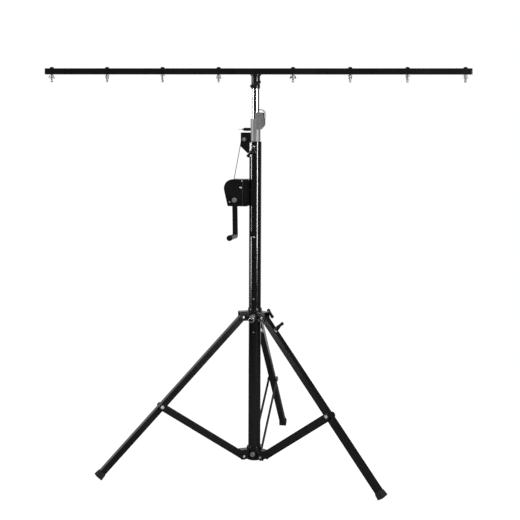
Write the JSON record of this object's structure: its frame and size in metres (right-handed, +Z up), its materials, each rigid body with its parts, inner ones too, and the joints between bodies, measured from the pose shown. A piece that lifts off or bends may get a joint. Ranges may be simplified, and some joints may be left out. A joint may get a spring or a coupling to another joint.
{
  "type": "crank lighting stand",
  "caption": "Wind-up lighting stand with a folding tripod, a three-stage mast raised by a hand winch and cable, and a T-bar with wing-nut bolts for hanging lamps.",
  "frame": {"origin": "bottom centre of the bounding box, on the floor; the mast axis is 120.4 mm from it towards -Y", "axes": "+X along the T-bar towards the right-hand end, +Y towards the back leg, +Z up along the mast"},
  "size_m": [1.73, 1.0677, 1.6331],
  "materials": {
    "black_powder_coat": "satin, fine texture",
    "black_plastic": "matt",
    "rubber": "matt",
    "zinc_plate": "bright zinc plating",
    "chrome": "polished",
    "grey_zinc": "dull zinc plating",
    "steel_cable": "stranded steel"
  },
  "bodies": {
    "mast": {"mast_tube": "black_powder_coat", "lower_hub": "black_powder_coat", "lower_hub_bolt": "zinc_plate", "brace_pivot_left": "zinc_plate", "brace_pivot_right": "zinc_plate", "brace_pivot_back": "zinc_plate", "winch_frame": "black_powder_coat", "winch_cover": "black_powder_coat", "drum_axle": "zinc_plate", "winch_cable": "steel_cable", "pulley_bracket": "black_powder_coat", "pulley_axle": "zinc_plate"},
    "upper_hub": {"upper_hub": "black_powder_coat", "hub_lock_barrel": "zinc_plate", "leg_pivot_left": "zinc_plate", "leg_pivot_right": "zinc_plate", "leg_pivot_back": "zinc_plate"},
    "hub_clamp": {"hub_clamp_screw": "black_plastic"},
    "hub_lock": {"hub_lock_pin": "zinc_plate"},
    "leg_left": {"leg_left": "black_powder_coat", "foot_left": "rubber", "knee_bolt_left": "zinc_plate"},
    "leg_right": {"leg_right": "black_powder_coat", "foot_right": "rubber", "knee_bolt_right": "zinc_plate"},
    "leg_back": {"leg_back": "black_powder_coat", "foot_back": "rubber", "knee_bolt_back": "zinc_plate"},
    "brace_left": {"brace_left_a": "black_powder_coat", "brace_left_b": "black_powder_coat"},
    "brace_right": {"brace_right_a": "black_powder_coat", "brace_right_b": "black_powder_coat"},
    "brace_back": {"brace_back_a": "black_powder_coat", "brace_back_b": "black_powder_coat"},
    "level_clamp": {"level_clamp_screw": "black_plastic"},
    "drum": {"winch_drum": "zinc_plate"},
    "crank": {"crank_shaft": "zinc_plate", "crank_arm": "black_powder_coat"},
    "grip": {"crank_grip": "black_plastic"},
    "top_pulley": {"top_pulley": "zinc_plate"},
    "mast_clamp": {"mast_clamp_screw": "black_plastic"},
    "middle_stage": {"middle_tube": "grey_zinc", "middle_head": "grey_zinc", "head_guard": "chrome", "head_axle": "zinc_plate", "head_lock_barrel": "black_plastic"},
    "head_pulley": {"head_pulley": "black_plastic"},
    "head_lock": {"head_lock_pin": "zinc_plate"},
    "inner_stage": {"inner_tube": "chrome"},
    "t_bar": {"t_socket": "black_powder_coat", "t_bar": "black_powder_coat"},
    "socket_clamp": {"socket_screw": "black_plastic"},
    "fixture_bolt_1": {"fixture_bolt_1": "zinc_plate"},
    "fixture_bolt_2": {"fixture_bolt_2": "zinc_plate"},
    "fixture_bolt_3": {"fixture_bolt_3": "zinc_plate"},
    "fixture_bolt_4": {"fixture_bolt_4": "zinc_plate"},
    "fixture_bolt_5": {"fixture_bolt_5": "zinc_plate"},
    "fixture_bolt_6": {"fixture_bolt_6": "zinc_plate"},
    "fixture_bolt_7": {"fixture_bolt_7": "zinc_plate"},
    "fixture_bolt_8": {"fixture_bolt_8": "zinc_plate"}
  },
  "joints": [
    {"name": "hub_slide", "type": "slide", "parent": "mast", "child": "upper_hub", "axis": [0, 0, 1], "range_m": [0, 0.1]},
    {"name": "leg_left_hinge", "type": "hinge", "parent": "upper_hub", "child": "leg_left", "pos_m": [-0.049, -0.1406, 0.6173], "axis": [-0.3811, 0.9245, 0], "range_deg": [-7.8, 0]},
    {"name": "brace_left_hinge", "type": "hinge", "parent": "mast", "child": "brace_left", "pos_m": [-0.04706, -0.1398, 0.0449], "axis": [-0.3811, 0.9245, 0], "range_deg": [0, 11]},
    {"name": "leg_right_hinge", "type": "hinge", "parent": "upper_hub", "child": "leg_right", "pos_m": [0.04199, -0.15274, 0.6173], "axis": [-0.6101, -0.7923, 0], "range_deg": [-7.8, 0]},
    {"name": "brace_right_hinge", "type": "hinge", "parent": "mast", "child": "brace_right", "pos_m": [0.04033, -0.15146, 0.0449], "axis": [-0.6101, -0.7923, 0], "range_deg": [0, 11]},
    {"name": "leg_back_hinge", "type": "hinge", "parent": "upper_hub", "child": "leg_back", "pos_m": [0.00701, -0.06787, 0.6173], "axis": [0.9912, -0.1323, 0], "range_deg": [-7.8, 0]},
    {"name": "brace_back_hinge", "type": "hinge", "parent": "mast", "child": "brace_back", "pos_m": [0.00673, -0.06995, 0.0449], "axis": [0.9912, -0.1323, 0], "range_deg": [0, 11]},
    {"name": "hub_clamp_turn", "type": "hinge", "parent": "upper_hub", "child": "hub_clamp", "pos_m": [0.06135, -0.07902, 0.6221], "axis": [0.829, 0.5592, 0], "range_deg": [0, 360]},
    {"name": "hub_lock_pull", "type": "slide", "parent": "upper_hub", "child": "hub_lock", "axis": [-0.1323, -0.9912, 0], "range_m": [0, 0.008], "stiffness_N_per_m": 1500, "springref_m": -0.004},
    {"name": "level_clamp_turn", "type": "hinge", "parent": "leg_right", "child": "level_clamp", "pos_m": [0.10791, -0.2035, 0.59515], "axis": [0.5665, -0.4363, 0.6991], "range_deg": [0, 360]},
    {"name": "middle_slide", "type": "slide", "parent": "mast", "child": "middle_stage", "axis": [0, 0, 1], "range_m": [0, 0.7]},
    {"name": "inner_slide", "type": "slide", "parent": "middle_stage", "child": "inner_stage", "axis": [0, 0, 1], "range_m": [0, 0.7]},
    {"name": "drum_turn", "type": "hinge", "parent": "mast", "child": "drum", "pos_m": [-0.07427, -0.10996, 1.1367], "axis": [0.1392, 0.9903, 0], "continuous": true},
    {"name": "crank_turn", "type": "hinge", "parent": "mast", "child": "crank", "pos_m": [-0.07427, -0.10996, 1.0947], "axis": [0.1392, 0.9903, 0], "continuous": true},
    {"name": "grip_spin", "type": "hinge", "parent": "crank", "child": "grip", "pos_m": [-0.07179, -0.11031, 0.949], "axis": [0.1392, 0.9903, 0], "continuous": true},
    {"name": "top_pulley_turn", "type": "hinge", "parent": "mast", "child": "top_pulley", "pos_m": [-0.04328, -0.11432, 1.3399], "axis": [0.1392, 0.9903, 0], "continuous": true},
    {"name": "head_pulley_turn", "type": "hinge", "parent": "middle_stage", "child": "head_pulley", "pos_m": [0.02674, -0.12416, 1.437], "axis": [-0.1392, -0.9903, 0], "continuous": true},
    {"name": "head_lock_pull", "type": "slide", "parent": "middle_stage", "child": "head_lock", "axis": [-0.9976, 0.0698, 0], "range_m": [0, 0.008], "stiffness_N_per_m": 1500, "springref_m": -0.004},
    {"name": "mast_clamp_turn", "type": "hinge", "parent": "mast", "child": "mast_clamp", "pos_m": [-0.01353, -0.18091, 1.2881], "axis": [-0.2181, -0.9759, 0], "range_deg": [0, 360]},
    {"name": "t_bar_swivel", "type": "hinge", "parent": "inner_stage", "child": "t_bar", "pos_m": [0, -0.1204, 1.6145], "axis": [0, 0, 1], "continuous": true},
    {"name": "socket_clamp_turn", "type": "hinge", "parent": "t_bar", "child": "socket_clamp", "pos_m": [0.00267, -0.16532, 1.5621], "axis": [0.0593, -0.9982, 0], "range_deg": [0, 360]},
    {"name": "fixture_bolt_1_turn", "type": "hinge", "parent": "t_bar", "child": "fixture_bolt_1", "pos_m": [-0.84, -0.1204, 1.6145], "axis": [0, 0, 1], "continuous": true},
    {"name": "fixture_bolt_2_turn", "type": "hinge", "parent": "t_bar", "child": "fixture_bolt_2", "pos_m": [-0.61, -0.1204, 1.6145], "axis": [0, 0, 1], "continuous": true},
    {"name": "fixture_bolt_3_turn", "type": "hinge", "parent": "t_bar", "child": "fixture_bolt_3", "pos_m": [-0.381, -0.1204, 1.6145], "axis": [0, 0, 1], "continuous": true},
    {"name": "fixture_bolt_4_turn", "type": "hinge", "parent": "t_bar", "child": "fixture_bolt_4", "pos_m": [-0.151, -0.1204, 1.6145], "axis": [0, 0, 1], "continuous": true},
    {"name": "fixture_bolt_5_turn", "type": "hinge", "parent": "t_bar", "child": "fixture_bolt_5", "pos_m": [0.151, -0.1204, 1.6145], "axis": [0, 0, 1], "continuous": true},
    {"name": "fixture_bolt_6_turn", "type": "hinge", "parent": "t_bar", "child": "fixture_bolt_6", "pos_m": [0.381, -0.1204, 1.6145], "axis": [0, 0, 1], "continuous": true},
    {"name": "fixture_bolt_7_turn", "type": "hinge", "parent": "t_bar", "child": "fixture_bolt_7", "pos_m": [0.61, -0.1204, 1.6145], "axis": [0, 0, 1], "continuous": true},
    {"name": "fixture_bolt_8_turn", "type": "hinge", "parent": "t_bar", "child": "fixture_bolt_8", "pos_m": [0.84, -0.1204, 1.6145], "axis": [0, 0, 1], "continuous": true}
  ],
  "couplings": [
    {"joint": "leg_left_hinge", "follows": "hub_slide", "rad_per_m": -1.2808},
    {"joint": "brace_left_hinge", "follows": "hub_slide", "rad_per_m": 1.8364},
    {"joint": "leg_right_hinge", "follows": "hub_slide", "rad_per_m": -1.2808},
    {"joint": "brace_right_hinge", "follows": "hub_slide", "rad_per_m": 1.8364},
    {"joint": "leg_back_hinge", "follows": "hub_slide", "rad_per_m": -1.2808},
    {"joint": "brace_back_hinge", "follows": "hub_slide", "rad_per_m": 1.8364},
    {"joint": "inner_slide", "follows": "middle_slide", "ratio": 1},
    {"joint": "drum_turn", "follows": "middle_slide", "rad_per_m": -47.619},
    {"joint": "crank_turn", "follows": "middle_slide", "rad_per_m": 119.05},
    {"joint": "top_pulley_turn", "follows": "middle_slide", "rad_per_m": -68.966},
    {"joint": "head_pulley_turn", "follows": "middle_slide", "rad_per_m": -111.11}
  ]
}
